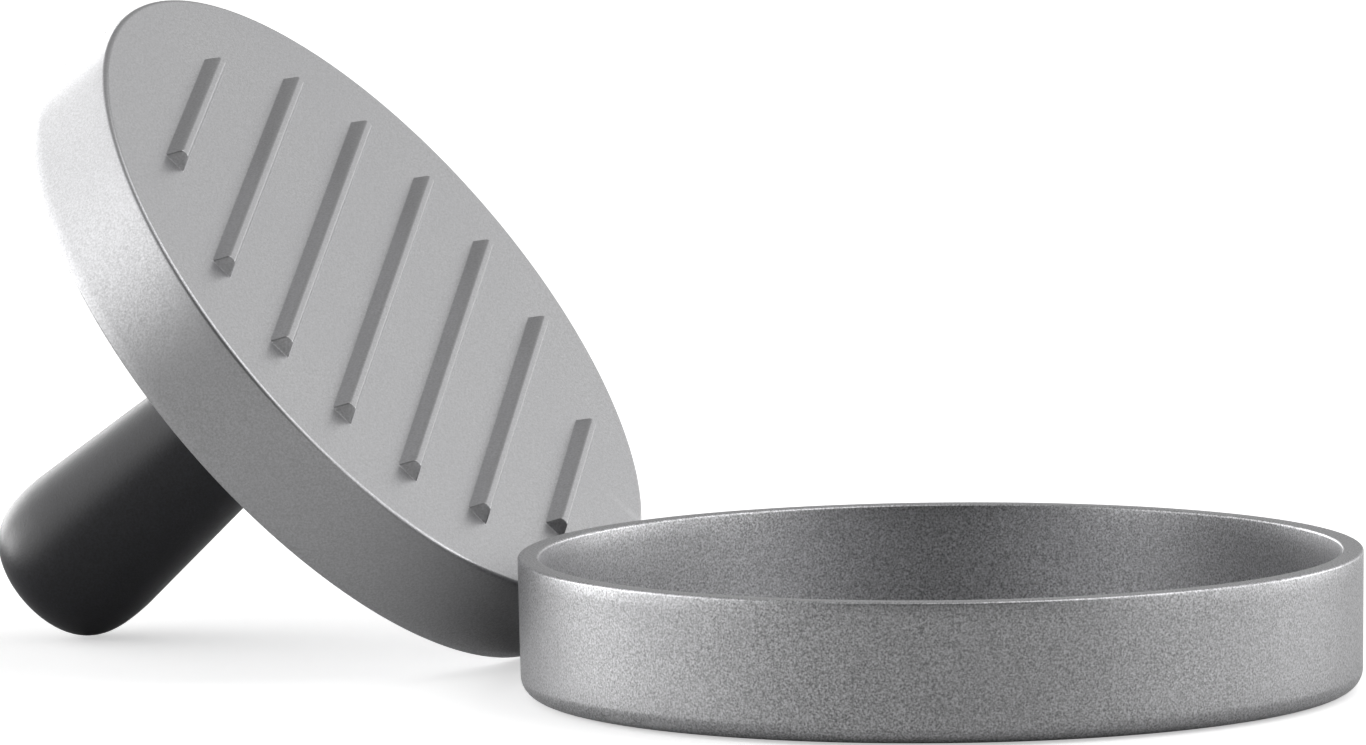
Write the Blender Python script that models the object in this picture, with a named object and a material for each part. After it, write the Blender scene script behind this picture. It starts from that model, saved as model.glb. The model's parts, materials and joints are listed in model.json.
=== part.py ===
"""Patty press: a round forming dish, and a loose press that leans beside it on its grip.

Units are metres, +Z is up and the dish stands on z = 0 with its axis on the world's Z axis.
The press is designed upright, as it is used: face down on local z = 0, grip up along local +Z.
"""

from math import atan2, cos, pi, radians, sin, sqrt

import bmesh
import bpy
from mathutils import Matrix, Vector

MM = 0.001

# Forming dish, a die casting
DISH_RADIUS = 60.0 * MM
DISH_HEIGHT = 19.7 * MM
DISH_DRAFT = 0.2 * MM
DISH_FOOT_FILLET = 2.8 * MM
DISH_WALL = 3.0 * MM
DISH_FLOOR = 3.0 * MM
DISH_FLOOR_FILLET = 3.0 * MM
BORE_DRAFT = 0.4 * MM
RIM_CORNER = 0.4 * MM
UNDERSIDE_PAD_RADIUS = 16.0 * MM
UNDERSIDE_RING_RADIUS = 50.0 * MM
UNDERSIDE_RECESS = 0.8 * MM
UNDERSIDE_SLOPE = 0.5 * MM

# Press plate, a die casting that is open at the back
FACE_RADIUS = 55.0 * MM
BACK_RADIUS = 55.75 * MM
PLATE_THICKNESS = 14.8 * MM
FACE_CORNER = 0.5 * MM
FACE_WALL = 3.0 * MM
SKIRT_WALL = 2.6 * MM
CUP_DRAFT = 0.5 * MM
CUP_FILLET = 3.0 * MM
BOSS_RADIUS = 12.0 * MM
BOSS_DRAFT = 0.4 * MM
BOSS_FILLET = 2.0 * MM
BOSS_TOP = 11.0 * MM
BOSS_CORNER = 0.5 * MM

# Raised marking ribs on the face: each ends square where its inner foot meets a circle
RIB_COUNT = 7
RIB_PITCH = 13.05 * MM
RIB_SHIFT = 1.0 * MM
RIB_WIDTH = 3.6 * MM
RIB_TOP_WIDTH = 1.3 * MM
RIB_HEIGHT = 2.15 * MM
RIB_ENDS_RADIUS = 41.4 * MM
RIB_END_LEAN = 0.45 * MM
RIB_ROOT = 1.0 * MM

# Grip and its fixing: an M8 stud, a split washer and a threaded insert
STUD_RADIUS = 4.0 * MM
STUD_CHAMFER = 0.8 * MM
STUD_LENGTH = 25.0 * MM
HOLE_DEPTH = 8.8 * MM
TOUCH_GAP = 0.3 * MM
WASHER_RADIUS = 7.4 * MM
WASHER_THICKNESS = 1.6 * MM
WASHER_SPLIT = radians(14.0)
INSERT_RADIUS = 6.0 * MM
INSERT_LENGTH = 14.0 * MM
INSERT_GROOVE = 0.5 * MM
INSERT_GROOVE_WIDTH = 1.4 * MM
INSERT_GROOVE_PLACES = (4.2 * MM, 8.4 * MM)
INSERT_CHAMFER = 0.4 * MM
SOCKET_RUNOUT = 3.0 * MM
GRIP_FOOT_RADIUS = 9.1 * MM
GRIP_FOOT_CORNER = 0.6 * MM
GRIP_RADIUS = 12.46 * MM
GRIP_TOP = 73.4 * MM
GRIP_END_HEIGHT = 12.2 * MM
GRIP_END_POWER = 3.16

# Where the press leans beside the dish, and where it sits when swung over it
LEAN_FACE_CENTRE = Vector((-82.1 * MM, 51.0 * MM))
LEAN_AZIMUTH = radians(-21.7)
RIB_ROLL = radians(24.3)
SEATED_CLEARANCE = 2.3 * MM

LARGE_SEGMENTS = 80
SMALL_SEGMENTS = 40
WASHER_STEPS = 32

BORE_RADIUS = DISH_RADIUS - DISH_WALL
FOOT_Z = BOSS_TOP + 2 * TOUCH_GAP + WASHER_THICKNESS
CLEAR_BORE = STUD_RADIUS + TOUCH_GAP
HOLE_BOTTOM = BOSS_TOP - HOLE_DEPTH


def clear_scene():
    for obj in list(bpy.data.objects):
        bpy.data.objects.remove(obj, do_unlink=True)


def material(name, colour, metallic, roughness):
    made = bpy.data.materials.new(name)
    made.use_nodes = True
    shader = made.node_tree.nodes["Principled BSDF"]
    shader.inputs["Base Color"].default_value = (*colour, 1.0)
    shader.inputs["Metallic"].default_value = metallic
    shader.inputs["Roughness"].default_value = roughness
    return made


def arc(centre_r, centre_z, radius, start, end, steps):
    """Points (r, z) along an arc, its angles in degrees from +r towards +z."""
    points = []
    for i in range(steps + 1):
        angle = radians(start + (end - start) * i / steps)
        points.append((centre_r + radius * cos(angle), centre_z + radius * sin(angle)))
    return points


def add_object(name, mesh_data, mat, sharp_degrees=35):
    """A new object from a bmesh, with its faces turned outwards and its round faces shaded smooth."""
    bmesh.ops.recalc_face_normals(mesh_data, faces=mesh_data.faces)
    mesh = bpy.data.meshes.new(name)
    mesh_data.to_mesh(mesh)
    mesh_data.free()
    mesh.shade_smooth()
    mesh.set_sharp_from_angle(angle=radians(sharp_degrees))
    mesh.materials.append(mat)
    obj = bpy.data.objects.new(name, mesh)
    bpy.context.scene.collection.objects.link(obj)
    return obj


def turned(profile, segments):
    """A bmesh turned from (r, z) points that start and end on the axis."""
    made = bmesh.new()
    rings = []
    for r, z in profile:
        if r < 1e-7:
            rings.append([made.verts.new((0.0, 0.0, z))])
            continue
        angles = [2 * pi * k / segments for k in range(segments)]
        rings.append([made.verts.new((r * cos(a), r * sin(a), z)) for a in angles])
    for lower, upper in zip(rings, rings[1:]):
        for k in range(segments):
            after = (k + 1) % segments
            corners = [lower[k % len(lower)], lower[after % len(lower)]]
            corners += [upper[after % len(upper)], upper[k % len(upper)]]
            corners = list(dict.fromkeys(corners))
            if len(corners) > 2:
                made.faces.new(corners)
    return made


def turned_ring(profile, segments):
    """A bmesh turned from a closed loop of (r, z) points that stays off the axis."""
    made = bmesh.new()
    angles = [2 * pi * k / segments for k in range(segments)]
    rings = [[made.verts.new((r * cos(a), r * sin(a), z)) for a in angles] for r, z in profile]
    for i, ring in enumerate(rings):
        following = rings[(i + 1) % len(rings)]
        for k in range(segments):
            after = (k + 1) % segments
            made.faces.new((ring[k], ring[after], following[after], following[k]))
    return made


def joined_to(obj, tool):
    """Unites tool with obj through a Boolean modifier, and keeps tool as a hidden helper."""
    tool.hide_render = True
    tool.display_type = "WIRE"
    union = obj.modifiers.new(tool.name, "BOOLEAN")
    union.operation = "UNION"
    union.solver = "EXACT"
    union.object = tool


def dish_profile():
    foot_radius = DISH_RADIUS - DISH_DRAFT
    recess_outer = UNDERSIDE_RING_RADIUS - UNDERSIDE_SLOPE
    points = [(0.0, 0.0), (UNDERSIDE_PAD_RADIUS, 0.0)]
    points += [(UNDERSIDE_PAD_RADIUS + UNDERSIDE_SLOPE, UNDERSIDE_RECESS)]
    points += [(recess_outer, UNDERSIDE_RECESS), (UNDERSIDE_RING_RADIUS, 0.0)]
    points += arc(foot_radius - DISH_FOOT_FILLET, DISH_FOOT_FILLET, DISH_FOOT_FILLET, -90, 0, 5)
    points += arc(DISH_RADIUS - RIM_CORNER, DISH_HEIGHT - RIM_CORNER, RIM_CORNER, 0, 90, 2)
    points += arc(BORE_RADIUS + RIM_CORNER, DISH_HEIGHT - RIM_CORNER, RIM_CORNER, 90, 180, 2)
    floor_bore = BORE_RADIUS - BORE_DRAFT
    fillet_centre = floor_bore - DISH_FLOOR_FILLET
    points += arc(fillet_centre, DISH_FLOOR + DISH_FLOOR_FILLET, DISH_FLOOR_FILLET, 0, -90, 4)
    points.append((0.0, DISH_FLOOR))
    return points


def plate_profile():
    cup_radius = BACK_RADIUS - SKIRT_WALL
    cup_floor_radius = cup_radius - CUP_DRAFT
    skirt_corner_z = PLATE_THICKNESS - RIM_CORNER
    boss_foot = BOSS_RADIUS + BOSS_DRAFT
    points = [(0.0, 0.0)]
    points += arc(FACE_RADIUS - FACE_CORNER, FACE_CORNER, FACE_CORNER, -90, 0, 2)
    points += arc(BACK_RADIUS - RIM_CORNER, skirt_corner_z, RIM_CORNER, 0, 90, 2)
    points += arc(cup_radius + RIM_CORNER, skirt_corner_z, RIM_CORNER, 90, 180, 2)
    points += arc(cup_floor_radius - CUP_FILLET, FACE_WALL + CUP_FILLET, CUP_FILLET, 0, -90, 3)
    points += arc(boss_foot + BOSS_FILLET, FACE_WALL + BOSS_FILLET, BOSS_FILLET, 270, 180, 3)
    points += [(BOSS_RADIUS, BOSS_TOP - BOSS_CORNER), (BOSS_RADIUS - BOSS_CORNER, BOSS_TOP)]
    points += [(CLEAR_BORE, BOSS_TOP), (CLEAR_BORE, HOLE_BOTTOM), (0.0, HOLE_BOTTOM)]
    return points


def ribs():
    """The face's marking ribs: bars with sloping sides and ends, side by side along local X."""
    made = bmesh.new()
    foot = RIB_WIDTH / 2
    top = RIB_TOP_WIDTH / 2
    for index in range(RIB_COUNT):
        from_middle = (index - (RIB_COUNT - 1) / 2) * RIB_PITCH
        inner_foot = max(abs(from_middle) - foot, 0.0)
        end = sqrt(RIB_ENDS_RADIUS**2 - inner_foot**2)
        levels = []
        for half, reach, z in (
            (foot, end, RIB_ROOT),
            (foot, end, 0.0),
            (top, end - RIB_END_LEAN, -RIB_HEIGHT),
        ):
            corners = ((-reach, -half), (reach, -half), (reach, half), (-reach, half))
            middle = RIB_SHIFT + from_middle
            levels.append([made.verts.new((x, middle + y, z)) for x, y in corners])
        for upper, lower in zip(levels, levels[1:]):
            for k in range(4):
                after = (k + 1) % 4
                made.faces.new((upper[k], upper[after], lower[after], lower[k]))
        made.faces.new(levels[0])
        made.faces.new(levels[-1])
    return made


def stud_profile():
    low = HOLE_BOTTOM + TOUCH_GAP
    high = low + STUD_LENGTH
    tip = STUD_RADIUS - STUD_CHAMFER
    points = [(0.0, low), (tip, low), (STUD_RADIUS, low + STUD_CHAMFER)]
    points += [(STUD_RADIUS, high - STUD_CHAMFER), (tip, high), (0.0, high)]
    return points


def insert_profile():
    low = FOOT_Z + TOUCH_GAP
    high = low + INSERT_LENGTH
    waist = INSERT_RADIUS - INSERT_GROOVE
    chamfer = INSERT_CHAMFER
    points = [(CLEAR_BORE, low), (INSERT_RADIUS - chamfer, low), (INSERT_RADIUS, low + chamfer)]
    for place in INSERT_GROOVE_PLACES:
        start = low + place
        end = start + INSERT_GROOVE_WIDTH
        points += [(INSERT_RADIUS, start), (waist, start + chamfer)]
        points += [(waist, end - chamfer), (INSERT_RADIUS, end)]
    points += [(INSERT_RADIUS, high - chamfer), (INSERT_RADIUS - chamfer, high), (CLEAR_BORE, high)]
    return points


def washer():
    """A split spring washer: a square-edged ring with a gap across it."""
    made = bmesh.new()
    low = BOSS_TOP + TOUCH_GAP
    sweep = 2 * pi - WASHER_SPLIT
    sections = []
    for k in range(WASHER_STEPS + 1):
        angle = WASHER_SPLIT / 2 + sweep * k / WASHER_STEPS
        corners = []
        for r, z in ((CLEAR_BORE, low), (WASHER_RADIUS, low)):
            corners.append(made.verts.new((r * cos(angle), r * sin(angle), z)))
        for r, z in ((WASHER_RADIUS, low + WASHER_THICKNESS), (CLEAR_BORE, low + WASHER_THICKNESS)):
            corners.append(made.verts.new((r * cos(angle), r * sin(angle), z)))
        sections.append(corners)
    for near, far in zip(sections, sections[1:]):
        for k in range(4):
            after = (k + 1) % 4
            made.faces.new((near[k], near[after], far[after], far[k]))
    made.faces.new(sections[0][::-1])
    made.faces.new(sections[-1])
    return made


def grip_end(steps):
    """Points (r, z) of the grip's rounded end, a superellipse, from its widest ring to the tip."""
    base = GRIP_TOP - GRIP_END_HEIGHT
    points = []
    for k in range(steps):
        angle = pi / 2 * k / steps
        r = GRIP_RADIUS * cos(angle) ** (2 / GRIP_END_POWER)
        points.append((r, base + GRIP_END_HEIGHT * sin(angle) ** (2 / GRIP_END_POWER)))
    points.append((0.0, GRIP_TOP))
    return points


def grip_profile():
    socket_radius = INSERT_RADIUS + TOUCH_GAP
    socket_top = FOOT_Z + INSERT_LENGTH + SOCKET_RUNOUT
    corner = GRIP_FOOT_CORNER
    points = [(0.0, socket_top), (socket_radius, socket_top), (socket_radius, FOOT_Z)]
    points += arc(GRIP_FOOT_RADIUS - corner, FOOT_Z + corner, corner, -90, 0, 2)
    return points + grip_end(12)


def lean_elevation():
    """How far the face tilts up when the skirt's back edge and the grip's end both touch the table."""

    def depth(r, z, tilt):
        return -r * cos(tilt) - z * sin(tilt)

    def rim_over_grip(tilt):
        skirt = depth(BACK_RADIUS, PLATE_THICKNESS - RIM_CORNER, tilt)
        grip = min(depth(r, z, tilt) for r, z in grip_end(200))
        return skirt - grip

    low, high = radians(5), radians(80)
    for _ in range(60):
        middle = (low + high) / 2
        if rim_over_grip(middle) > 0:
            high = middle
        else:
            low = middle
    return (low + high) / 2


def lean_matrix():
    """The press's pose at rest, leaning on its skirt and the end of its grip."""
    tilt = lean_elevation()
    normal = Vector((cos(tilt) * cos(LEAN_AZIMUTH), cos(tilt) * sin(LEAN_AZIMUTH), sin(tilt)))
    level = Vector((0, 0, 1)).cross(normal).normalized()
    steep = normal.cross(level)
    along_ribs = cos(RIB_ROLL) * level + sin(RIB_ROLL) * steep
    up = -normal
    across = up.cross(along_ribs)
    turn = Matrix((along_ribs, across, up)).transposed().to_4x4()
    # The lowest point of the skirt's back edge, just above the table
    drop = BACK_RADIUS * cos(tilt) + (PLATE_THICKNESS - RIM_CORNER) * sin(tilt)
    place = Vector((LEAN_FACE_CENTRE.x, LEAN_FACE_CENTRE.y, drop))
    return Matrix.Translation(place) @ turn


def swing(lean):
    """(point, axis, angle) of the one turn that sets the press face down over the dish."""
    up = Vector((0, 0, 1))
    normal = -(lean.to_3x3() @ up)
    seat = Vector((0, 0, DISH_HEIGHT + SEATED_CLEARANCE))
    travel = seat - lean.translation
    axis = (normal + up).cross(travel).normalized()
    before = normal - axis * normal.dot(axis)
    after = -up + axis * up.dot(axis)
    angle = atan2(axis.dot(before.cross(after)), before.dot(after))
    middle = lean.translation + travel / 2
    reach = travel.length / 2 * cos(angle / 2) / sin(angle / 2)
    point = middle + reach * axis.cross(travel).normalized()
    return point, axis, angle


def hang_on(pivot, obj, matrix):
    """Parents obj to pivot and stands it at a world matrix."""
    obj.parent = pivot
    obj.matrix_parent_inverse = pivot.matrix_world.inverted()
    obj.matrix_world = matrix


def build():
    clear_scene()
    coated = material("coated_aluminium", (0.40, 0.40, 0.41), 0.65, 0.48)
    moulded = material("black_moulding", (0.012, 0.012, 0.015), 0.0, 0.42)
    brass = material("brass", (0.62, 0.45, 0.18), 1.0, 0.35)
    steel = material("zinc_steel", (0.55, 0.56, 0.58), 1.0, 0.35)

    add_object("base_dish", turned(dish_profile(), LARGE_SEGMENTS), coated)

    plate = add_object("press_plate", turned(plate_profile(), LARGE_SEGMENTS), coated)
    rib_tool = add_object("rib_tool", ribs(), coated)
    joined_to(plate, rib_tool)
    grip = add_object("grip", turned(grip_profile(), SMALL_SEGMENTS), moulded)
    stud = add_object("threaded_stud", turned(stud_profile(), SMALL_SEGMENTS), steel)
    insert = add_object("threaded_insert", turned_ring(insert_profile(), SMALL_SEGMENTS), brass)
    split_washer = add_object("lock_washer", washer(), steel)

    lean = lean_matrix()
    point, axis, _ = swing(lean)
    pivot = bpy.data.objects.new("press_pivot", None)
    bpy.context.scene.collection.objects.link(pivot)
    pivot.matrix_world = Matrix.Translation(point) @ axis.to_track_quat("Z", "Y").to_matrix().to_4x4()
    bpy.context.view_layer.update()
    for obj in (plate, rib_tool, grip, stud, insert, split_washer):
        hang_on(pivot, obj, lean)


build()
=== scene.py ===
"""Patty press: finely modelled castings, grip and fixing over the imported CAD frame.

Units are metres, +Z is up and the dish stands on z = 0 with its axis on the world's Z axis.
The press is modelled upright, as it is used: face down on local z = 0, grip up along local +Z.
"""

import json
from math import cos, pi, radians, sin, sqrt

import bmesh
import bpy
from mathutils import Matrix, Vector
from mathutils.geometry import delaunay_2d_cdt

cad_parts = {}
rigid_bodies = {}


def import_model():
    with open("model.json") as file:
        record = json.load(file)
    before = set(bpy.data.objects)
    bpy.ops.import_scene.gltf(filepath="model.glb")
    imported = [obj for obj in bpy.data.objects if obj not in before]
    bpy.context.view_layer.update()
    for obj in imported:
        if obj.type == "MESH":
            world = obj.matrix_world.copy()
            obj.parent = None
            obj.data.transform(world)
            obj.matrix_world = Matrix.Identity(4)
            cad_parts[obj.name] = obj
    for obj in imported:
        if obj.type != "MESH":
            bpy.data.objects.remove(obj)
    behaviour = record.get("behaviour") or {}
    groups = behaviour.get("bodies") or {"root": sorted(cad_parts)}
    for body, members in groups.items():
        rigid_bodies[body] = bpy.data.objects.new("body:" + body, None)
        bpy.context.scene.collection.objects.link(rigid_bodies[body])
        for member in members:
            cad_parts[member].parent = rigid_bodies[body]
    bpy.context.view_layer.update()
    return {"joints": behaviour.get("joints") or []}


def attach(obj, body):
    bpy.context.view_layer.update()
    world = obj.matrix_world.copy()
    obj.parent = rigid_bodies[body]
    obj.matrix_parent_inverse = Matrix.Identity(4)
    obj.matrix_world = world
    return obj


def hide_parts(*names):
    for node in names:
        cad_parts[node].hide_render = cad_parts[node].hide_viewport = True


MM = 0.001

# Forming dish
DISH_RADIUS = 60.0 * MM
DISH_HEIGHT = 19.7 * MM
DISH_DRAFT = 0.2 * MM
DISH_FOOT_FILLET = 2.8 * MM
DISH_WALL = 3.0 * MM
DISH_FLOOR = 3.0 * MM
DISH_FLOOR_FILLET = 3.0 * MM
BORE_DRAFT = 0.4 * MM
RIM_CORNER = 0.4 * MM
PAD_RADIUS = 16.0 * MM
RING_RADIUS = 50.0 * MM
RECESS_DEPTH = 0.8 * MM
RECESS_SLOPE = 0.5 * MM

# Press plate
FACE_RADIUS = 55.0 * MM
BACK_RADIUS = 55.75 * MM
PLATE_THICKNESS = 14.8 * MM
FACE_CORNER = 0.7 * MM
FACE_WALL = 3.0 * MM
SKIRT_WALL = 2.6 * MM
CUP_DRAFT = 0.5 * MM
CUP_FILLET = 3.0 * MM
BOSS_RADIUS = 12.0 * MM
BOSS_DRAFT = 0.4 * MM
BOSS_FILLET = 2.0 * MM
BOSS_TOP = 11.0 * MM
BOSS_CORNER = 0.5 * MM
HOLE_RADIUS = 4.3 * MM
HOLE_BOTTOM = 2.2 * MM
HOLE_CHAMFER = 0.4 * MM

# Marking ribs: their roots, ends and top edges are blended as a casting's are
RIB_COUNT = 7
RIB_PITCH = 13.05 * MM
RIB_SHIFT = 1.0 * MM
RIB_HALF_WIDTH = 1.8 * MM
RIB_HALF_TOP = 0.65 * MM
RIB_HEIGHT = 2.15 * MM
RIB_ENDS_RADIUS = 41.4 * MM
RIB_END_LEAN = 0.45 * MM
RIB_TOP_BLEND = 0.25 * MM
RIB_END_BLEND = 0.5 * MM
RIB_ROOT_BLEND = 0.06 * MM
RIB_END_ZONE = 4.0 * MM
RIB_MIDDLE_STEPS = 12
# Distances from a rib's middle line, and along its end zone, in millimetres
RIB_COLUMNS = (0.0, 0.16, 0.3, 0.42, 0.54, 0.66, 0.78, 0.9)
RIB_COLUMNS += (1.02, 1.15, 1.35, 1.55, 1.68, 1.74, 1.8, 1.86)
RIB_STATIONS = (0.0, 1.4, 2.4, 2.8, 3.0, 3.15, 3.25, 3.35, 3.45)
RIB_STATIONS += (3.52, 3.6, 3.7, 3.78, 3.85, 3.91, 3.96, 4.0)

# Ejector marks that the mould's pins leave in unseen faces
EJECTOR_RADIUS = 3.5 * MM
EJECTOR_DEPTH = 0.15 * MM
EJECTOR_COUNT = 6
EJECTOR_SEGMENTS = 32
DISH_EJECTOR_CIRCLE = 34.0 * MM
PLATE_EJECTOR_CIRCLE = 32.0 * MM

# Grip and its fixing
TOUCH_GAP = 0.3 * MM
WASHER_RADIUS = 7.4 * MM
WASHER_THICKNESS = 1.6 * MM
WASHER_SPLIT = radians(14.0)
WASHER_SLANT = radians(9.0)
WASHER_EDGE = 0.12 * MM
WASHER_STEPS = 72
FOOT_Z = BOSS_TOP + 2 * TOUCH_GAP + WASHER_THICKNESS
STUD_RADIUS = 4.0 * MM
STUD_LENGTH = 25.0 * MM
STUD_CHAMFER = 0.8 * MM
THREAD_PITCH = 1.25 * MM
THREAD_DEPTH = 0.65 * MM
THREAD_STEEPNESS = 1.25
THREAD_ROWS_PER_TURN = 8
THREAD_COLUMNS = 48
INSERT_RADIUS = 6.0 * MM
INSERT_LENGTH = 14.0 * MM
KNURL_DEPTH = 0.3 * MM
KNURL_TEETH = 30
KNURL_COLUMNS = KNURL_TEETH * 4
KNURL_ROWS = 56
KNURL_PLAIN_END = 0.04
KNURL_WAIST = (0.45, 0.55)
KNURL_GROOVE_DEPTH = KNURL_DEPTH * 1.4
GRIP_FOOT_RADIUS = 9.1 * MM
GRIP_FOOT_CORNER = 0.6 * MM
SOCKET_RADIUS = INSERT_RADIUS + TOUCH_GAP
SOCKET_RUNOUT = 3.0 * MM
SOCKET_CHAMFER = 0.3 * MM
GRIP_RADIUS = 12.46 * MM
GRIP_TOP = 73.4 * MM
GRIP_END_HEIGHT = 12.2 * MM
GRIP_END_POWER = 3.16
GRIP_END_STEPS = 40

# The press face down over the dish, from which the record's hinge swings it back to where it leans
SEATED_HEIGHT = 22.0 * MM
SEATED_TURN = radians(26.345)

SEGMENTS = 192
GRIP_SEGMENTS = 128
MERGE_DISTANCE = 1e-7

# Coatings: mean tone, and how much the speckle moves it
DISH_TONE, DISH_SPECKLE = 0.52, 0.55
PLATE_TONE, PLATE_SPECKLE = 0.51, 0.15
EDGE_WEAR = 0.35

# Floors: the seen one glows so that it reads as white
FLOOR_REACH = 6.0
SEEN_FLOOR_Z = -0.2 * MM
SEEN_FLOOR_TONE = 0.87
SEEN_FLOOR_GLOW = 0.5
MIRRORED_FLOOR_Z = -0.4 * MM
MIRRORED_FLOOR_TONE = 0.85

# Soft boxes: (name, place, size, power)
LIGHT_AIM = (-0.03, 0.02, 0.03)
SOFT_LIGHTS = (
    ("key_left", (-1.35, 0.22, 0.44), 1.9, 8.8),
    ("low_left", (-1.35, 0.42, 0.10), 0.6, 4.5),
    ("back_left", (-0.9, 1.3, 0.1), 0.9, 9.0),
    ("fill_right", (1.3, 0.65, 0.0), 0.9, 5.9),
    ("overhead", (0.7, -0.15, 1.1), 1.2, 6.5),
)
# The room's brightness from the front (0) to the back (1), and its share from below (0) to above (1)
ROOM_DEPTHS = ((0.0, 0.0), (0.1, 0.13), (0.26, 0.95), (0.5, 1.2))
ROOM_DEPTHS += ((0.75, 1.15), (0.88, 0.95), (1.0, 0.3))
ROOM_HEIGHTS = ((0.0, 1.4), (0.6, 1.4), (0.69, 1.0), (0.79, 0.38), (1.0, 0.38))

# Camera: far away with a long lens, almost level
CAMERA_PLACE = Vector((0.0, -1.410, 0.1883))
CAMERA_YAW = radians(1.470)
CAMERA_PITCH = radians(5.784)
CAMERA_ROLL = radians(-0.741)
CAMERA_LENS = 263.54
CAMERA_SENSOR = 36.0
CAMERA_NEAR = 0.05
CAMERA_FAR = 30.0


# ---------------------------------------------------------------- shapes


def arc(centre_r, centre_z, radius, start, end, steps):
    """Points (r, z) along an arc, its angles in degrees from +r towards +z."""
    points = []
    for i in range(steps + 1):
        angle = radians(start + (end - start) * i / steps)
        points.append((centre_r + radius * cos(angle), centre_z + radius * sin(angle)))
    return points


def straight(start, end, steps):
    """Points between start and end, without the ends themselves."""
    points = []
    for i in range(1, steps):
        share = i / steps
        points.append(tuple(a + (b - a) * share for a, b in zip(start, end)))
    return points


def ring_of(made, r, z, segments):
    """A level ring of vertices round the Z axis."""
    angles = [2 * pi * k / segments for k in range(segments)]
    return [made.verts.new((r * cos(a), r * sin(a), z)) for a in angles]


def bridge(made, lower, upper):
    """Quads between two rings of the same length."""
    count = len(lower)
    for k in range(count):
        after = (k + 1) % count
        made.faces.new((lower[k], lower[after], upper[after], upper[k])).smooth = True


def lathe(made, profile, segments):
    """Turns (r, z) points into a band of quads, and gives back its first and last rings."""
    rings = [ring_of(made, r, z, segments) for r, z in profile]
    for lower, upper in zip(rings, rings[1:]):
        bridge(made, lower, upper)
    return rings[0], rings[-1]


def loops_round(point, loops):
    """How many closed loops of flat points go round a point."""
    count = 0
    for loop in loops:
        inside = False
        for one, other in zip(loop, loop[1:] + loop[:1]):
            if (one.y > point.y) != (other.y > point.y):
                share = (point.y - one.y) / (other.y - one.y)
                if point.x < one.x + share * (other.x - one.x):
                    inside = not inside
        count += inside
    return count


def fill_flat(made, *loops):
    """Flat-shaded triangles inside the first of some level loops and outside the others."""
    vertices = [vertex for loop in loops for vertex in loop]
    edges = []
    for loop in loops:
        first = len(edges)
        edges += [(first + k, first + (k + 1) % len(loop)) for k in range(len(loop))]
    flat_loops = [[vertex.co.xy.copy() for vertex in loop] for loop in loops]
    flat = [point for loop in flat_loops for point in loop]
    points, _, triangles, sources, _, _ = delaunay_2d_cdt(flat, edges, [], 1, MERGE_DISTANCE)
    for triangle in triangles:
        middle = (points[triangle[0]] + points[triangle[1]] + points[triangle[2]]) / 3
        if loops_round(middle, flat_loops) == 1:
            made.faces.new([vertices[sources[k][0]] for k in triangle])


def ejector_marks(made, circle, z, depth):
    """Shallow round dents in a level face at z, and their top loops for fill_flat."""
    loops = []
    for index in range(EJECTOR_COUNT):
        turn = 2 * pi * (index + 0.5) / EJECTOR_COUNT
        centre = Vector((circle * cos(turn), circle * sin(turn)))
        levels = []
        for r, level in ((EJECTOR_RADIUS, z), (EJECTOR_RADIUS - abs(depth), z + depth)):
            ring = ring_of(made, r, level, EJECTOR_SEGMENTS)
            for vertex in ring:
                vertex.co.x += centre.x
                vertex.co.y += centre.y
            levels.append(ring)
        bridge(made, *levels)
        made.faces.new(levels[1])
        loops.append(levels[0])
    return loops


def shaped_rings(made, radius_at, low, length, rows, columns):
    """A stack of joined rings whose radius is a function of angle and height."""
    rings = []
    for i in range(rows + 1):
        z = low + length * i / rows
        ring = ring_of(made, 1.0, z, columns)
        for k, vertex in enumerate(ring):
            radius = radius_at(2 * pi * k / columns, z)
            vertex.co.x *= radius
            vertex.co.y *= radius
        rings.append(ring)
    for lower, upper in zip(rings, rings[1:]):
        bridge(made, lower, upper)
    return rings[0], rings[-1]


def finish_piece(name, made, material, body, replaced, place=None, sharp=32):
    """Makes a piece from a bmesh, stands it in place and hangs it on its CAD body."""
    bmesh.ops.remove_doubles(made, verts=made.verts, dist=MERGE_DISTANCE)
    bmesh.ops.recalc_face_normals(made, faces=made.faces)
    if place is not None:
        made.transform(place)
    for edge in made.edges:
        edge.smooth = edge.calc_face_angle(0.0) < radians(sharp)
    mesh = bpy.data.meshes.new(name)
    made.to_mesh(mesh)
    made.free()
    mesh.materials.append(material)
    piece = bpy.data.objects.new(name, mesh)
    bpy.context.scene.collection.objects.link(piece)
    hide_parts(replaced)
    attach(piece, body)
    return piece


# ---------------------------------------------------------------- forming dish


def dish_profile():
    """From the foot's ring, up the outside, over the rim and down the bore to the floor."""
    foot_centre = DISH_RADIUS - DISH_DRAFT - DISH_FOOT_FILLET
    wall_foot = (DISH_RADIUS - DISH_DRAFT, DISH_FOOT_FILLET)
    wall_top = (DISH_RADIUS, DISH_HEIGHT - RIM_CORNER)
    bore = DISH_RADIUS - DISH_WALL
    floor_bore = bore - BORE_DRAFT
    points = [(RING_RADIUS, 0.0)]
    points += arc(foot_centre, DISH_FOOT_FILLET, DISH_FOOT_FILLET, -90, 0, 14)
    points += straight(wall_foot, wall_top, 8)
    points += arc(DISH_RADIUS - RIM_CORNER, DISH_HEIGHT - RIM_CORNER, RIM_CORNER, 0, 90, 6)
    points += arc(bore + RIM_CORNER, DISH_HEIGHT - RIM_CORNER, RIM_CORNER, 90, 180, 6)
    fillet_z = DISH_FLOOR + DISH_FLOOR_FILLET
    points += straight((bore, DISH_HEIGHT - RIM_CORNER), (floor_bore, fillet_z), 6)
    points += arc(floor_bore - DISH_FLOOR_FILLET, fillet_z, DISH_FLOOR_FILLET, 0, -90, 12)
    return points


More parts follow.
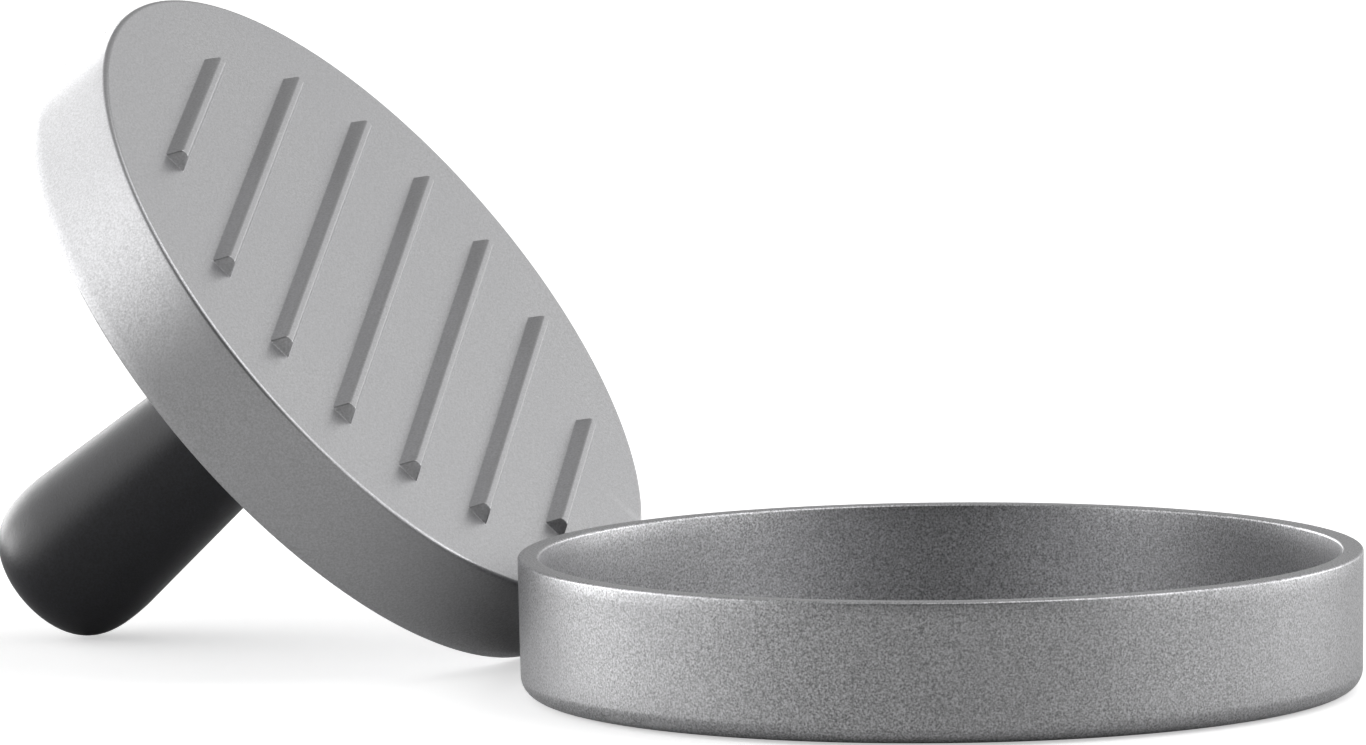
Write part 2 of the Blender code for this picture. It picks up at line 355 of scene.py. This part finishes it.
def make_dish(material):
    made = bmesh.new()
    ring_inner, floor_edge = lathe(made, dish_profile(), SEGMENTS)
    fill_flat(made, floor_edge)
    slope_top = ring_of(made, RING_RADIUS - RECESS_SLOPE, RECESS_DEPTH, SEGMENTS)
    bridge(made, ring_inner, slope_top)
    pad_slope = ring_of(made, PAD_RADIUS + RECESS_SLOPE, RECESS_DEPTH, SEGMENTS)
    pad_edge = ring_of(made, PAD_RADIUS, 0.0, SEGMENTS)
    bridge(made, pad_slope, pad_edge)
    fill_flat(made, pad_edge)
    marks = ejector_marks(made, DISH_EJECTOR_CIRCLE, RECESS_DEPTH, EJECTOR_DEPTH)
    fill_flat(made, slope_top, pad_slope, *marks)
    return finish_piece("forming_dish", made, material, "dish", "base_dish")


# ---------------------------------------------------------------- press plate


def smooth_min(a, b, blend):
    """The lower of two heights, with a rounded change from one to the other."""
    overlap = max(blend - abs(a - b), 0.0)
    return min(a, b) - overlap * overlap / (4 * blend)


def smooth_max(a, b, blend):
    """The higher of two heights, with a rounded change from one to the other."""
    return -smooth_min(-a, -b, blend)


def rib_height(across, beyond_end):
    """Height of a rib at a distance across from its middle and beyond its end (negative inside)."""
    flank = RIB_HEIGHT / (RIB_HALF_WIDTH - RIB_HALF_TOP)
    left = (RIB_HALF_WIDTH - across) * flank
    right = (RIB_HALF_WIDTH + across) * flank
    body = smooth_min(min(left, right), RIB_HEIGHT, RIB_TOP_BLEND * 2)
    capped = smooth_min(body, -beyond_end * RIB_HEIGHT / RIB_END_LEAN, RIB_END_BLEND)
    return smooth_max(capped, 0.0, RIB_ROOT_BLEND * 2)


def rib_columns():
    """Distances across a rib, closer together at its roots and its top edges."""
    reach = RIB_HALF_WIDTH + RIB_ROOT_BLEND * 2 * (RIB_HALF_WIDTH - RIB_HALF_TOP) / RIB_HEIGHT
    half = [d * MM for d in RIB_COLUMNS] + [reach]
    return [-d for d in reversed(half[1:])] + half


def rib_stations():
    """Places along a rib: (share of the way to an end zone, distance into that zone)."""
    blend = RIB_ROOT_BLEND * 2 * RIB_END_LEAN / RIB_HEIGHT
    end = [d * MM for d in RIB_STATIONS] + [RIB_END_ZONE + blend / 2, RIB_END_ZONE + blend]
    middle = [-1 + 2 * k / RIB_MIDDLE_STEPS for k in range(1, RIB_MIDDLE_STEPS)]
    left = [(-1.0, d) for d in reversed(end)]
    return left + [(share, 0.0) for share in middle] + [(1.0, d) for d in end]


def rib_patch(made, from_middle):
    """One blended rib that stands out of the face towards -Z, and the loop round its foot."""
    inner_foot = max(abs(from_middle) - RIB_HALF_WIDTH, 0.0)
    end = sqrt(RIB_ENDS_RADIUS**2 - inner_foot**2)
    grid = []
    for share, extra in rib_stations():
        x = share * (end - RIB_END_ZONE + extra)
        row = []
        for across in rib_columns():
            height = rib_height(across, abs(x) - end)
            row.append(made.verts.new((x, RIB_SHIFT + from_middle + across, -height)))
        grid.append(row)
    for near, far in zip(grid, grid[1:]):
        for k in range(len(near) - 1):
            made.faces.new((near[k], near[k + 1], far[k + 1], far[k])).smooth = True
    foot = list(grid[0])
    foot += [row[-1] for row in grid[1:]]
    foot += list(reversed(grid[-1][:-1]))
    foot += [row[0] for row in reversed(grid[1:-1])]
    for vertex in foot:
        vertex.co.z = 0.0
    return foot


def plate_profile():
    """From the face's edge, up the side wall, over the back edge and down the cup to its floor."""
    wall_foot = (FACE_RADIUS, FACE_CORNER)
    wall_top = (BACK_RADIUS, PLATE_THICKNESS - RIM_CORNER)
    cup = BACK_RADIUS - SKIRT_WALL
    cup_foot = cup - CUP_DRAFT
    points = arc(FACE_RADIUS - FACE_CORNER, FACE_CORNER, FACE_CORNER, -90, 0, 8)
    points += straight(wall_foot, wall_top, 8)
    points += arc(BACK_RADIUS - RIM_CORNER, wall_top[1], RIM_CORNER, 0, 90, 5)
    points += arc(cup + RIM_CORNER, wall_top[1], RIM_CORNER, 90, 180, 5)
    fillet_z = FACE_WALL + CUP_FILLET
    points += straight((cup, wall_top[1]), (cup_foot, fillet_z), 6)
    points += arc(cup_foot - CUP_FILLET, fillet_z, CUP_FILLET, 0, -90, 12)
    return points


def boss_profile():
    """From the cup's floor, up the boss, over its top and down the stud's hole."""
    foot = BOSS_RADIUS + BOSS_DRAFT
    corner_z = BOSS_TOP - BOSS_CORNER
    points = arc(foot + BOSS_FILLET, FACE_WALL + BOSS_FILLET, BOSS_FILLET, 270, 180, 10)
    points += straight((foot, FACE_WALL + BOSS_FILLET), (BOSS_RADIUS, corner_z), 4)
    points += arc(BOSS_RADIUS - BOSS_CORNER, corner_z, BOSS_CORNER, 0, 90, 5)
    points += [(HOLE_RADIUS + HOLE_CHAMFER, BOSS_TOP), (HOLE_RADIUS, BOSS_TOP - HOLE_CHAMFER)]
    points += [(HOLE_RADIUS, HOLE_BOTTOM)]
    return points


def make_plate(material, place):
    made = bmesh.new()
    face_edge, cup_edge = lathe(made, plate_profile(), SEGMENTS)
    boss_foot, hole_foot = lathe(made, boss_profile(), SEGMENTS)
    fill_flat(made, hole_foot)
    marks = ejector_marks(made, PLATE_EJECTOR_CIRCLE, FACE_WALL, -EJECTOR_DEPTH)
    fill_flat(made, cup_edge, boss_foot, *marks)
    feet = []
    for index in range(RIB_COUNT):
        feet.append(rib_patch(made, (index - (RIB_COUNT - 1) / 2) * RIB_PITCH))
    fill_flat(made, face_edge, *feet)
    return finish_piece(
        "ribbed_press_plate", made, material, "press", "press_plate", place, 40
    )


# ---------------------------------------------------------------- grip and fixing


def grip_profile():
    """From the socket's end, down the socket, round the foot and up to the rounded end."""
    base = GRIP_TOP - GRIP_END_HEIGHT
    corner = GRIP_FOOT_CORNER
    points = [(SOCKET_RADIUS, FOOT_Z + INSERT_LENGTH + SOCKET_RUNOUT)]
    points += [(SOCKET_RADIUS, FOOT_Z + SOCKET_CHAMFER), (SOCKET_RADIUS + SOCKET_CHAMFER, FOOT_Z)]
    points += arc(GRIP_FOOT_RADIUS - corner, FOOT_Z + corner, corner, -90, 0, 6)
    points += straight((GRIP_FOOT_RADIUS, FOOT_Z + corner), (GRIP_RADIUS, base), 12)
    for k in range(GRIP_END_STEPS):
        angle = pi / 2 * k / GRIP_END_STEPS
        r = GRIP_RADIUS * cos(angle) ** (2 / GRIP_END_POWER)
        points.append((r, base + GRIP_END_HEIGHT * sin(angle) ** (2 / GRIP_END_POWER)))
    return points


def make_grip(material, place):
    made = bmesh.new()
    socket_end, tip = lathe(made, grip_profile(), GRIP_SEGMENTS)
    fill_flat(made, socket_end)
    pole = made.verts.new((0.0, 0.0, GRIP_TOP))
    for k, vertex in enumerate(tip):
        made.faces.new((vertex, tip[(k + 1) % len(tip)], pole)).smooth = True
    return finish_piece("moulded_grip", made, material, "press", "grip", place)


def thread_radius(angle, z, low, high):
    """Radius of a right-hand thread, run out into a chamfer at both ends."""
    phase = (z / THREAD_PITCH - angle / (2 * pi)) % 1.0
    flank = min(abs(phase - 0.5) * 2 * THREAD_STEEPNESS, 1.0)
    end = min(z - low, high - z)
    chamfered = STUD_RADIUS - STUD_CHAMFER + end
    return min(STUD_RADIUS - THREAD_DEPTH * flank, chamfered)


def make_stud(material, place):
    made = bmesh.new()
    low = HOLE_BOTTOM + TOUCH_GAP
    high = low + STUD_LENGTH
    rows = int(STUD_LENGTH / THREAD_PITCH * THREAD_ROWS_PER_TURN)

    def radius_at(angle, z):
        return thread_radius(angle, z, low, high)

    bottom, top = shaped_rings(made, radius_at, low, STUD_LENGTH, rows, THREAD_COLUMNS)
    fill_flat(made, bottom)
    fill_flat(made, top)
    return finish_piece(
        "machined_stud", made, material, "press", "threaded_stud", place, 60
    )


def knurl_radius(angle, z):
    """Radius of the insert's crossed knurl, with plain grooves at its ends and at mid length."""
    low = FOOT_Z + TOUCH_GAP
    share = (z - low) / INSERT_LENGTH
    at_end = share < KNURL_PLAIN_END or share > 1 - KNURL_PLAIN_END
    if at_end or KNURL_WAIST[0] < share < KNURL_WAIST[1]:
        return INSERT_RADIUS - KNURL_GROOVE_DEPTH
    lead = z / INSERT_RADIUS
    one = abs(((angle + lead) * KNURL_TEETH / (2 * pi)) % 1.0 - 0.5) * 2
    other = abs(((angle - lead) * KNURL_TEETH / (2 * pi)) % 1.0 - 0.5) * 2
    return INSERT_RADIUS - KNURL_DEPTH * (one + other) / 2


def make_insert(material, place):
    made = bmesh.new()
    low = FOOT_Z + TOUCH_GAP
    bottom, top = shaped_rings(made, knurl_radius, low, INSERT_LENGTH, KNURL_ROWS, KNURL_COLUMNS)
    top_bore = ring_of(made, HOLE_RADIUS, low + INSERT_LENGTH, KNURL_COLUMNS)
    low_bore = ring_of(made, HOLE_RADIUS, low, KNURL_COLUMNS)
    bridge(made, top, top_bore)
    bridge(made, top_bore, low_bore)
    bridge(made, low_bore, bottom)
    return finish_piece(
        "knurled_insert", made, material, "press", "threaded_insert", place, 30
    )


def washer_section():
    """The split washer's square section with its edges broken, as (r, z) points."""
    low = BOSS_TOP + TOUCH_GAP
    high = low + WASHER_THICKNESS
    inner, outer, edge = HOLE_RADIUS, WASHER_RADIUS, WASHER_EDGE
    points = [(inner + edge, low), (outer - edge, low), (outer, low + edge), (outer, high - edge)]
    points += [(outer - edge, high), (inner + edge, high), (inner, high - edge), (inner, low + edge)]
    return points


def make_washer(material, place):
    made = bmesh.new()
    middle_z = BOSS_TOP + TOUCH_GAP + WASHER_THICKNESS / 2
    sections = []
    for i in range(WASHER_STEPS + 1):
        share = i / WASHER_STEPS
        start = WASHER_SPLIT / 2 + (2 * pi - WASHER_SPLIT) * share
        section = []
        for r, z in washer_section():
            angle = start + WASHER_SLANT * (z - middle_z) / WASHER_THICKNESS
            section.append(made.verts.new((r * cos(angle), r * sin(angle), z)))
        sections.append(section)
    for near, far in zip(sections, sections[1:]):
        bridge(made, near, far)
    made.faces.new(sections[0])
    made.faces.new(sections[-1])
    return finish_piece(
        "split_washer", made, material, "press", "lock_washer", place, 30
    )


# ---------------------------------------------------------------- materials


class Nodes:
    """A material's node tree with short calls to add and link its nodes."""

    def __init__(self, name):
        self.material = bpy.data.materials.new(name)
        self.material.use_nodes = True
        self.tree = self.material.node_tree
        self.shader = self.tree.nodes["Principled BSDF"]
        self.place = self.add("ShaderNodeTexCoord").outputs["Object"]

    def add(self, kind, **settings):
        node = self.tree.nodes.new(kind)
        for key, value in settings.items():
            setattr(node, key, value)
        return node

    def link(self, source, target):
        self.tree.links.new(source, target)

    def noise(self, scale, detail=2.0, roughness=0.5):
        node = self.add("ShaderNodeTexNoise")
        node.inputs["Scale"].default_value = scale
        node.inputs["Detail"].default_value = detail
        node.inputs["Roughness"].default_value = roughness
        self.link(self.place, node.inputs["Vector"])
        return node.outputs["Fac"]

    def remap(self, value, low, high, to_low, to_high):
        node = self.add("ShaderNodeMapRange")
        names = ("From Min", "From Max", "To Min", "To Max")
        for name, number in zip(names, (low, high, to_low, to_high)):
            node.inputs[name].default_value = number
        self.link(value, node.inputs["Value"])
        return node.outputs["Result"]

    def maths(self, operation, a, b):
        node = self.add("ShaderNodeMath", operation=operation)
        for socket, value in zip(node.inputs, (a, b)):
            if isinstance(value, (int, float)):
                socket.default_value = value
            else:
                self.link(value, socket)
        return node.outputs[0]

    def mix(self, share, one, other):
        """A colour between two, each of them a colour or another node's output."""
        node = self.add("ShaderNodeMix", data_type="RGBA")
        sockets = (node.inputs[0], node.inputs[6], node.inputs[7])
        for socket, value in zip(sockets, (share, one, other)):
            if isinstance(value, bpy.types.NodeSocket):
                self.link(value, socket)
            else:
                socket.default_value = value
        return node.outputs[2]

    def bump(self, height, strength, distance, under=None):
        node = self.add("ShaderNodeBump")
        node.inputs["Strength"].default_value = strength
        node.inputs["Distance"].default_value = distance
        self.link(height, node.inputs["Height"])
        if under is not None:
            self.link(under, node.inputs["Normal"])
        return node.outputs["Normal"]

    def worn_edges(self, low, high):
        """A share that rises along the outer edges, where a coating rubs thin."""
        pointiness = self.add("ShaderNodeNewGeometry").outputs["Pointiness"]
        return self.remap(pointiness, low, high, 0.0, 1.0)


def grey(tone, blue=0.0):
    """A grey with its blue raised by a share."""
    return (tone, tone, tone * (1 + blue), 1.0)


def coating(name, tone, spread):
    """Silver-grey speckled non-stick coating over cast aluminium."""
    made = Nodes(name)
    shader = made.shader
    flakes = made.noise(3300.0, 1.5, 0.55)
    fine = made.noise(6400.0, 1.0, 0.5)
    cloud = made.noise(38.0, 3.0, 0.55)
    coarse_part = made.maths("MULTIPLY", flakes, 0.65)
    fine_part = made.maths("MULTIPLY", fine, 0.35)
    speckle = made.maths("ADD", coarse_part, fine_part)
    share = made.remap(speckle, 0.36, 0.64, 0.0, 1.0)
    colour = made.mix(share, grey(tone * (1 - spread), 0.01), grey(tone * (1 + spread), 0.02))
    tint = made.remap(cloud, 0.3, 0.7, 0.0, 0.35)
    colour = made.mix(tint, colour, grey(tone * 0.94, 0.03))
    rubbed = made.maths("MULTIPLY", made.worn_edges(0.52, 0.60), EDGE_WEAR)
    colour = made.mix(rubbed, colour, grey(min(tone * 1.5, 0.85), 0.01))
    made.link(colour, shader.inputs["Base Color"])
    shader.inputs["Metallic"].default_value = 1.0
    rough = made.remap(speckle, 0.35, 0.65, 0.44, 0.32)
    made.link(rough, shader.inputs["Roughness"])
    uneven = made.bump(made.noise(420.0, 2.0, 0.5), 0.12, 0.0002)
    made.link(made.bump(speckle, 0.30, 0.00006, uneven), shader.inputs["Normal"])
    return made.material


def moulding():
    """Matte black moulding with the fine grain of an eroded mould."""
    made = Nodes("grip_moulding")
    shader = made.shader
    grain = made.noise(3000.0, 2.0, 0.6)
    cloud = made.noise(60.0, 2.0, 0.5)
    dark = (0.0030, 0.0030, 0.0045, 1.0)
    light = (0.0140, 0.0140, 0.0200, 1.0)
    share = made.remap(grain, 0.35, 0.65, 0.0, 1.0)
    made.link(made.mix(share, dark, light), shader.inputs["Base Color"])
    fine_rough = made.remap(grain, 0.3, 0.7, 0.34, 0.42)
    patchy_rough = made.remap(cloud, 0.3, 0.7, -0.02, 0.02)
    rough = made.maths("ADD", fine_rough, patchy_rough)
    made.link(rough, shader.inputs["Roughness"])
    soft = made.bump(made.noise(160.0, 2.0, 0.5), 0.05, 0.0004)
    made.link(made.bump(grain, 0.45, 0.00006, soft), shader.inputs["Normal"])
    shader.inputs["Specular IOR Level"].default_value = 0.6
    return made.material


def plated_steel():
    """Bright zinc plate with a fine spangle."""
    made = Nodes("zinc_plate")
    shader = made.shader
    spangle = made.noise(900.0, 3.0, 0.6)
    share = made.remap(spangle, 0.3, 0.7, 0.0, 1.0)
    dull = (0.50, 0.52, 0.55, 1.0)
    bright = (0.66, 0.67, 0.68, 1.0)
    made.link(made.mix(share, dull, bright), shader.inputs["Base Color"])
    shader.inputs["Metallic"].default_value = 1.0
    made.link(made.remap(spangle, 0.3, 0.7, 0.26, 0.40), shader.inputs["Roughness"])
    made.link(made.bump(made.noise(2400.0), 0.15, 0.00004), shader.inputs["Normal"])
    return made.material


def turned_brass():
    """Machined brass, a little duller in patches."""
    made = Nodes("machined_brass")
    shader = made.shader
    patches = made.noise(500.0, 3.0, 0.6)
    share = made.remap(patches, 0.3, 0.7, 0.0, 1.0)
    dull = (0.58, 0.41, 0.15, 1.0)
    bright = (0.72, 0.54, 0.24, 1.0)
    made.link(made.mix(share, dull, bright), shader.inputs["Base Color"])
    shader.inputs["Metallic"].default_value = 1.0
    made.link(made.remap(patches, 0.3, 0.7, 0.24, 0.38), shader.inputs["Roughness"])
    made.link(made.bump(made.noise(2600.0), 0.12, 0.00004), shader.inputs["Normal"])
    return made.material


def floor_paint(name, tone, glow):
    """Plain tabletop with the faintest unevenness."""
    made = Nodes(name)
    shader = made.shader
    colour = made.mix(made.noise(3.0), grey(tone), grey(tone * 0.97))
    made.link(colour, shader.inputs["Base Color"])
    shader.inputs["Roughness"].default_value = 0.9
    shader.inputs["Specular IOR Level"].default_value = 0.1
    shader.inputs["Emission Color"].default_value = (1.0, 1.0, 1.0, 1.0)
    shader.inputs["Emission Strength"].default_value = glow
    return made.material


# ---------------------------------------------------------------- placing, stage, light, camera


def lean_matrix():
    """The leaning press: the seated press swung back by the whole range of the record's hinge."""
    joint = frame["joints"][0]
    point = Vector(joint["pos_m"])
    swing = Matrix.Rotation(-radians(joint["range_deg"][1]), 4, Vector(joint["axis"]))
    seated = Matrix.Translation((0, 0, SEATED_HEIGHT)) @ Matrix.Rotation(SEATED_TURN, 4, "Z")
    return Matrix.Translation(point) @ swing @ Matrix.Translation(-point) @ seated


def make_floor(name, z, material):
    """A large level sheet that is part of the stage."""
    made = bmesh.new()
    bmesh.ops.create_grid(made, x_segments=8, y_segments=8, size=FLOOR_REACH)
    mesh = bpy.data.meshes.new(name)
    made.to_mesh(mesh)
    made.free()
    mesh.materials.append(material)
    floor = bpy.data.objects.new(name, mesh)
    floor.location.z = z
    bpy.context.scene.collection.objects.link(floor)
    return floor


def make_floors():
    """A pale floor for the camera, and just under it one that only reflections and bounces meet."""
    seen = make_floor("floor", SEEN_FLOOR_Z, floor_paint("pale_floor", SEEN_FLOOR_TONE, SEEN_FLOOR_GLOW))
    seen.visible_glossy = False
    seen.visible_diffuse = False
    grey_paint = floor_paint("grey_floor", MIRRORED_FLOOR_TONE, 0.0)
    mirrored = make_floor("mirrored_floor", MIRRORED_FLOOR_Z, grey_paint)
    mirrored.visible_camera = False


def soft_light(name, place, aim, size, power):
    """A square soft box that shines from place towards aim."""
    data = bpy.data.lights.new(name, "AREA")
    data.shape = "SQUARE"
    data.size = size
    data.energy = power
    lamp = bpy.data.objects.new(name, data)
    lamp.location = place
    direction = Vector(aim) - Vector(place)
    lamp.rotation_euler = direction.to_track_quat("-Z", "Y").to_euler()
    bpy.context.scene.collection.objects.link(lamp)


def direction_ramp(tree, component, levels):
    """Brightness over a component of the direction, from -1 (position 0) to 1 (position 1)."""
    share = tree.nodes.new("ShaderNodeMapRange")
    share.inputs["From Min"].default_value = -1.0
    tree.links.new(component, share.inputs["Value"])
    ramp = tree.nodes.new("ShaderNodeValToRGB")
    ramp.color_ramp.interpolation = "EASE"
    tree.links.new(share.outputs["Result"], ramp.inputs["Fac"])
    stops = ramp.color_ramp.elements
    while len(stops) < len(levels):
        stops.new(1.0)
    for stop, (position, level) in zip(stops, levels):
        stop.position = position
        stop.color = (level, level, level, 1.0)
    return ramp.outputs["Color"]


def make_surroundings():
    """A room that is bright at its sides and back, and dim in front and overhead."""
    world = bpy.data.worlds.new("studio")
    world.use_nodes = True
    tree = world.node_tree
    outward = tree.nodes.new("ShaderNodeTexCoord").outputs["Generated"]
    direction = tree.nodes.new("ShaderNodeSeparateXYZ")
    tree.links.new(outward, direction.inputs["Vector"])
    both = tree.nodes.new("ShaderNodeVectorMath")
    both.operation = "MULTIPLY"
    depth_share = direction_ramp(tree, direction.outputs["Y"], ROOM_DEPTHS)
    height_share = direction_ramp(tree, direction.outputs["Z"], ROOM_HEIGHTS)
    tree.links.new(depth_share, both.inputs[0])
    tree.links.new(height_share, both.inputs[1])
    tree.links.new(both.outputs["Vector"], tree.nodes["Background"].inputs["Color"])
    bpy.context.scene.world = world


def make_lights():
    """The soft boxes, the room round them and plain tones."""
    for name, place, size, power in SOFT_LIGHTS:
        soft_light(name, place, LIGHT_AIM, size, power)
    make_surroundings()
    bpy.context.scene.view_settings.view_transform = "Standard"


def camera_turn():
    """The camera's rotation from its yaw, pitch and roll."""
    forward = Vector(
        (
            -sin(CAMERA_YAW) * cos(CAMERA_PITCH),
            cos(CAMERA_YAW) * cos(CAMERA_PITCH),
            -sin(CAMERA_PITCH),
        )
    )
    level_right = Vector((cos(CAMERA_YAW), sin(CAMERA_YAW), 0.0))
    level_up = level_right.cross(forward)
    right = level_right * cos(CAMERA_ROLL) + level_up * sin(CAMERA_ROLL)
    up = level_up * cos(CAMERA_ROLL) - level_right * sin(CAMERA_ROLL)
    return Matrix((right, up, -forward)).transposed().to_4x4()


def make_camera():
    data = bpy.data.cameras.new("camera")
    data.sensor_fit = "HORIZONTAL"
    data.sensor_width = CAMERA_SENSOR
    data.lens = CAMERA_LENS
    data.clip_start = CAMERA_NEAR
    data.clip_end = CAMERA_FAR
    camera = bpy.data.objects.new("camera", data)
    camera.matrix_world = Matrix.Translation(CAMERA_PLACE) @ camera_turn()
    bpy.context.scene.collection.objects.link(camera)
    bpy.context.scene.camera = camera


for leftover in list(bpy.data.objects):
    bpy.data.objects.remove(leftover, do_unlink=True)

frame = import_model()

lean = lean_matrix()
steel = plated_steel()
make_dish(coating("dish_coating", DISH_TONE, DISH_SPECKLE))
make_plate(coating("plate_coating", PLATE_TONE, PLATE_SPECKLE), lean)
make_grip(moulding(), lean)
make_stud(steel, lean)
make_insert(turned_brass(), lean)
make_washer(steel, lean)

make_floors()
make_lights()
make_camera()
